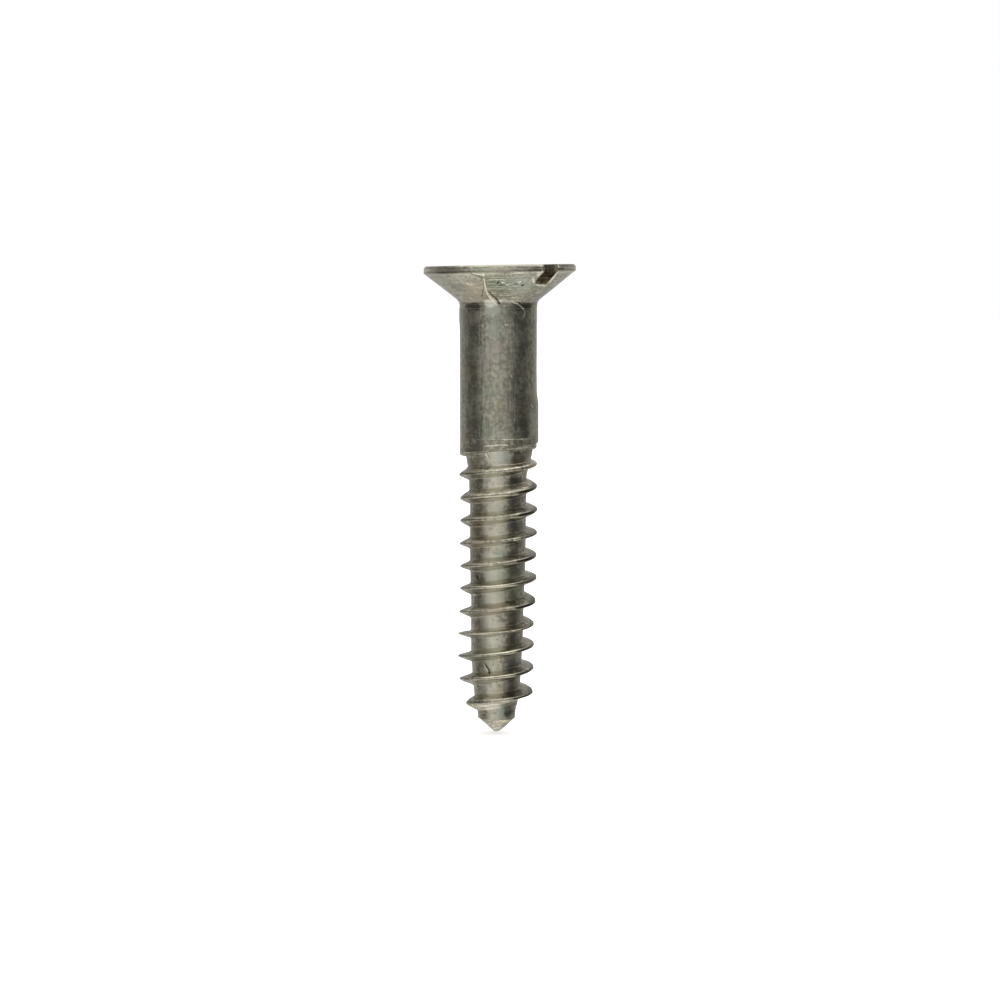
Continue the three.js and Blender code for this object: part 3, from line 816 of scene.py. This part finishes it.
class Nodes:
    """Short calls for building a node tree."""

    def __init__(self, material):
        material.use_nodes = True
        self.tree = material.node_tree
        self.tree.nodes.clear()
        self.coords = self.tree.nodes.new("ShaderNodeTexCoord")

    def new(self, kind, **values):
        n = self.tree.nodes.new(kind)
        for k, v in values.items():
            setattr(n, k, v)
        return n

    def link(self, a, b):
        self.tree.links.new(a, b)

    def attribute(self, name):
        n = self.new("ShaderNodeAttribute", attribute_name=name)
        return n.outputs["Fac"]

    def stretch(self, scale, offset=(0, 0, 0)):
        n = self.new("ShaderNodeMapping")
        n.inputs["Scale"].default_value = scale
        n.inputs["Location"].default_value = offset
        self.link(self.coords.outputs["Object"], n.inputs["Vector"])
        return n.outputs["Vector"]

    def noise(self, vector, scale, detail=3.0, rough=0.5):
        n = self.new("ShaderNodeTexNoise")
        n.inputs["Scale"].default_value = scale
        n.inputs["Detail"].default_value = detail
        n.inputs["Roughness"].default_value = rough
        self.link(vector, n.inputs["Vector"])
        return n.outputs["Fac"]

    def math(self, kind, a, b=None, c=None, clamp=False):
        n = self.new("ShaderNodeMath", operation=kind, use_clamp=clamp)
        for i, v in enumerate((a, b, c)):
            if v is None:
                continue
            if isinstance(v, (int, float)):
                n.inputs[i].default_value = v
            else:
                self.link(v, n.inputs[i])
        return n.outputs[0]

    def ramp(self, value, low, high, to_low=0.0, to_high=1.0):
        n = self.new("ShaderNodeMapRange", clamp=True, interpolation_type="SMOOTHSTEP")
        self.link(value, n.inputs["Value"])
        n.inputs["From Min"].default_value = low
        n.inputs["From Max"].default_value = high
        n.inputs["To Min"].default_value = to_low
        n.inputs["To Max"].default_value = to_high
        return n.outputs["Result"]

    def mix(self, factor, a, b):
        n = self.new("ShaderNodeMix", data_type="RGBA")
        if isinstance(factor, (int, float)):
            n.inputs[0].default_value = factor
        else:
            self.link(factor, n.inputs[0])
        for socket, v in ((n.inputs[6], a), (n.inputs[7], b)):
            if isinstance(v, tuple):
                socket.default_value = (*v, 1.0)
            else:
                self.link(v, socket)
        return n.outputs[2]


def steel(name, base, spread, roughness, rings=0.0, drawn=0.0, blotch=1.0, grain=0.0):
    """Bare steel. base is a linear colour, spread how far it wanders; rings are marks around the axis, drawn marks
    along it, blotch the stains and grain the fine speckle."""
    m = bpy.data.materials.new(name)
    n = Nodes(m)
    out = n.new("ShaderNodeOutputMaterial")
    p = n.new("ShaderNodeBsdfPrincipled")
    p.inputs["Metallic"].default_value = 1.0
    n.link(p.outputs[0], out.inputs["Surface"])
    plain = n.stretch((1, 1, 1))
    turned = n.noise(n.stretch((1, 1, 11)), 620, 4, 0.62)
    lines = n.noise(n.stretch((7, 7, 0.8)), 700, 3, 0.6)
    large = n.noise(plain, 420, 3, 0.5)
    middle = n.noise(plain, 1500, 4, 0.6)
    fine = n.noise(plain, 5200, 3, 0.55)
    hue = n.noise(plain, 560, 3, 0.6)
    hue2 = n.noise(n.stretch((1, 1, 1), (0.3, 0.1, 0.7)), 750, 3, 0.6)
    fresh_and_painted_light = n.attribute("fresh_and_painted_light")
    crest = n.attribute("crest")
    slot = n.attribute("slot")
    tone = n.attribute("tone")
    cool = n.attribute("cool")

    def centred(value, gain):
        return n.math("MULTIPLY", n.math("SUBTRACT", value, 0.5), gain)

    level = n.math("ADD", centred(large, 1.1 * blotch), centred(middle, 1.9 * blotch))
    level = n.math("ADD", level, centred(fine, 1.5 + grain))
    level = n.math("ADD", level, centred(turned, 2.4 * rings))
    level = n.math("ADD", level, centred(lines, 1.6 * drawn))
    level = n.math("ADD", level, n.math("MULTIPLY", crest, 0.10))
    level = n.math("ADD", level, tone)
    dark = tuple(c * (1 - spread) for c in base)
    light = tuple(min(1.0, c * (1 + spread)) for c in base)
    black = tuple(c * 0.10 for c in base)
    white = tuple(min(1.0, c * 2.25) for c in base)
    colour = n.mix(n.ramp(level, -0.5, 0.5), dark, light)
    brown = tuple(c * k for c, k in zip(base, (1.12, 0.97, 0.86)))
    plum = tuple(c * k for c, k in zip(base, (1.08, 0.94, 1.02)))
    green = tuple(c * k for c, k in zip(base, (0.86, 1.02, 0.90)))
    blue = tuple(c * k for c, k in zip(base, (0.84, 1.04, 1.12)))
    colour = n.mix(n.ramp(hue, 0.53, 0.70, 0.0, 0.55), colour, brown)
    colour = n.mix(n.ramp(hue, 0.47, 0.32, 0.0, 0.50), colour, green)
    colour = n.mix(n.ramp(hue2, 0.56, 0.70, 0.0, 0.55), colour, plum)
    colour = n.mix(n.ramp(cool, 0.05, 0.9, 0.0, 0.55), colour, blue)
    colour = n.mix(n.ramp(cool, -0.05, -0.8, 0.0, 0.5), colour, brown)
    # tone: wear, stains and patches, and also painted light and shade on the thread's flanks and grooves and along the
    # head's rim; lighter above zero, darker below
    colour = n.mix(n.ramp(tone, 0.1, 1.4, 0.0, 0.8), colour, tuple(min(1.0, c * k) for c, k in zip(base, (2.15, 2.22, 2.55))))
    colour = n.mix(n.ramp(tone, -0.1, -1.1, 0.0, 0.72), colour, black)
    # this field: fresh torn metal and painted highlights go towards white; painted shade in nicks, dips and under the
    # crests goes towards near black
    colour = n.mix(n.ramp(fresh_and_painted_light, 0.12, 0.8, 0.0, 0.85), colour, white)
    colour = n.mix(n.ramp(fresh_and_painted_light, -0.1, -0.7, 0.0, 0.85), colour, (0.030, 0.022, 0.014))
    # rust brown for the slot, partly rust and partly painted shade in the recess
    rust_and_shade = n.mix(n.ramp(middle, 0.35, 0.62), (0.075, 0.050, 0.026), (0.27, 0.205, 0.14))
    colour = n.mix(n.ramp(slot, 0.0, 1.0, 0.0, 0.97), colour, rust_and_shade)
    n.link(colour, p.inputs["Base Color"])
    r = n.math("ADD", n.ramp(turned, 0.3, 0.7, roughness - 0.04, roughness + 0.05), n.ramp(middle, 0.3, 0.7, -0.05, 0.07))
    r = n.math("ADD", r, n.ramp(slot, 0.0, 1.0, 0.0, 0.22))
    r = n.math("ADD", r, n.ramp(fresh_and_painted_light, 0.2, 0.8, 0.0, 0.10), clamp=True)
    n.link(r, p.inputs["Roughness"])
    height = n.math("ADD", n.math("MULTIPLY", turned, 0.3 + rings), n.math("MULTIPLY", lines, 0.2 + drawn))
    height = n.math("ADD", height, n.math("MULTIPLY", middle, 0.7))
    height = n.math("ADD", height, n.math("MULTIPLY", fine, 0.30))
    b = n.new("ShaderNodeBump")
    b.inputs["Strength"].default_value = 0.55
    b.inputs["Distance"].default_value = 0.00004
    n.link(height, b.inputs["Height"])
    n.link(b.outputs[0], p.inputs["Normal"])
    return m


def piece(mesh, material, node):
    ob = bpy.data.objects.new(mesh.name, mesh)
    bpy.context.scene.collection.objects.link(ob)
    mesh.materials.append(material)
    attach(ob, "root")
    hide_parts(node)
    return ob


head_steel = steel("head_steel", (0.395, 0.375, 0.300), 0.30, 0.29, rings=1.0, blotch=0.8, grain=1.0)
shank_steel = steel("shank_steel", (0.365, 0.357, 0.290), 0.28, 0.27, rings=0.12, drawn=0.6, blotch=0.9, grain=1.2)
thread_steel = steel("thread_steel", (0.452, 0.430, 0.345), 0.36, 0.34, rings=0.55, blotch=1.25, grain=1.6)
point_steel = thread_steel

piece(head_piece(), head_steel, "head")
piece(shank_piece(), shank_steel, "shank")
piece(thread_piece(), thread_steel, "threaded_section")
piece(point_piece(), point_steel, "point")

# ---------------------------------------------------------------------- studio

FLOOR_Z = TIP_Z * MM - 0.00005


def floor():
    """White paper. The steel's reflections come from the room's gradient, which has the paper in it."""
    side = 1.5
    me = bpy.data.meshes.new("floor")
    me.from_pydata(
        [(-side, -side, FLOOR_Z), (side, -side, FLOOR_Z), (side, side, FLOOR_Z), (-side, side, FLOOR_Z)],
        [], [(0, 1, 2, 3)],
    )
    ob = bpy.data.objects.new("floor", me)
    bpy.context.scene.collection.objects.link(ob)
    m = bpy.data.materials.new("paper")
    n = Nodes(m)
    out = n.new("ShaderNodeOutputMaterial")
    p = n.new("ShaderNodeBsdfPrincipled")
    n.link(p.outputs[0], out.inputs["Surface"])
    p.inputs["Roughness"].default_value = 0.9
    p.inputs["Specular IOR Level"].default_value = 0.1
    fibre = n.noise(n.stretch((1, 1, 1)), 260, 3, 0.5)
    n.link(n.mix(n.ramp(fibre, 0.3, 0.7), (0.86, 0.86, 0.855), (0.88, 0.88, 0.875)), p.inputs["Base Color"])
    p.inputs["Emission Color"].default_value = (1, 1, 1, 1)
    p.inputs["Emission Strength"].default_value = 0.58
    me.materials.append(m)
    ob.visible_glossy = False
    ob.visible_shadow = False


floor()

# What the steel sees around it at eye level, by degrees from straight in front (-Y), right positive.
AROUND_US = [
    (-180, 0.62), (-150, 0.62), (-128, 0.46), (-108, 0.26), (-90, 0.15), (-72, 0.13), (-58, 0.22), (-42, 0.62),
    (-26, 0.80), (-10, 0.80), (4, 0.64), (18, 0.60), (30, 0.50), (44, 0.28), (58, 0.14), (76, 0.12), (94, 0.15),
    (112, 0.30), (130, 0.40), (150, 0.50), (180, 0.62),
]


def studio():
    """The room as the steel sees it: bright paper behind, above and below, a soft window in front and a little to the
    left, dark sides. The camera itself sees plain pale paper."""
    world = bpy.data.worlds.new("studio")
    bpy.context.scene.world = world
    world.use_nodes = True
    t = world.node_tree
    t.nodes.clear()
    out = t.nodes.new("ShaderNodeOutputWorld")
    coords = t.nodes.new("ShaderNodeTexCoord")
    split = t.nodes.new("ShaderNodeSeparateXYZ")
    t.links.new(coords.outputs["Generated"], split.inputs[0])
    x, y, z = split.outputs

    def math_(kind, a, b=None, c=None, clamp=False):
        n = t.nodes.new("ShaderNodeMath")
        n.operation = kind
        n.use_clamp = clamp
        for i, v in enumerate((a, b, c)):
            if v is None:
                continue
            if isinstance(v, (int, float)):
                n.inputs[i].default_value = v
            else:
                t.links.new(v, n.inputs[i])
        return n.outputs[0]

    def step(value, low, high, a=0.0, b=1.0):
        n = t.nodes.new("ShaderNodeMapRange")
        n.interpolation_type = "SMOOTHSTEP"
        t.links.new(value, n.inputs["Value"])
        n.inputs["From Min"].default_value = low
        n.inputs["From Max"].default_value = high
        n.inputs["To Min"].default_value = a
        n.inputs["To Max"].default_value = b
        return n.outputs["Result"]

    def blend(factor, a, b):
        """a where the factor is 0, b where it is 1."""
        return math_("ADD", math_("MULTIPLY", a, math_("SUBTRACT", 1.0, factor)), math_("MULTIPLY", b, factor))

    azimuth = math_("ARCTAN2", x, math_("MULTIPLY", y, -1.0))
    place_on = math_("ADD", math_("MULTIPLY", azimuth, 0.5 / math.pi), 0.5)
    ramp = t.nodes.new("ShaderNodeValToRGB")
    ramp.color_ramp.interpolation = "EASE"
    stops = ramp.color_ramp.elements
    while len(stops) > 1:
        stops.remove(stops[0])
    stops[0].position = 0.0
    for k, (degrees, level) in enumerate(AROUND_US):
        stop = stops[0] if k == 0 else stops.new((degrees + 180) / 360)
        stop.color = (level, level, level, 1)
    t.links.new(place_on, ramp.inputs[0])
    level = ramp.outputs["Color"]
    level = blend(step(z, 0.55, 0.88), level, 1.0)
    level = blend(step(z, -0.22, -0.60), level, 0.64)
    level = blend(step(z, -0.74, -0.97), level, 1.25)
    seen = t.nodes.new("ShaderNodeBackground")
    seen.inputs["Color"].default_value = (1.0, 0.995, 0.98, 1)
    t.links.new(level, seen.inputs["Strength"])
    paper = t.nodes.new("ShaderNodeBackground")
    paper.inputs["Color"].default_value = (1.0, 1.0, 1.0, 1)
    paper.inputs["Strength"].default_value = 1.0
    path = t.nodes.new("ShaderNodeLightPath")
    mix = t.nodes.new("ShaderNodeMixShader")
    t.links.new(path.outputs["Is Camera Ray"], mix.inputs[0])
    t.links.new(seen.outputs[0], mix.inputs[1])
    t.links.new(paper.outputs[0], mix.inputs[2])
    t.links.new(mix.outputs[0], out.inputs["Surface"])


studio()

sky = bpy.data.lights.new("ceiling", "SUN")
sky.energy = 1.9
sky.angle = math.radians(70)
sky_ob = bpy.data.objects.new("ceiling", sky)
sky_ob.rotation_euler = (math.radians(-8), math.radians(6), 0)
bpy.context.scene.collection.objects.link(sky_ob)

scene = bpy.context.scene
scene.view_settings.view_transform = "Standard"
scene.view_settings.look = "None"

# ---------------------------------------------------------------------- camera

PX = 0.0545  # the camera's scale at the screw, mm
DISTANCE = 2791 * PX
UP = 11.9  # the camera's height over the middle of the screw

cam_data = bpy.data.cameras.new("camera")
cam_data.sensor_width = 36
cam_data.lens = 36 * 2800 / 1000
cam_data.clip_start = 0.002
cam_data.clip_end = 10
cam = bpy.data.objects.new("camera", cam_data)
bpy.context.scene.collection.objects.link(cam)
middle = Vector((0.088, 0, -12.705))
eye = middle + Vector((0, -math.sqrt(DISTANCE**2 - UP**2), UP))
cam.location = eye * MM
cam.rotation_euler = (middle - eye).to_track_quat("-Z", "Y").to_euler()
scene.camera = cam
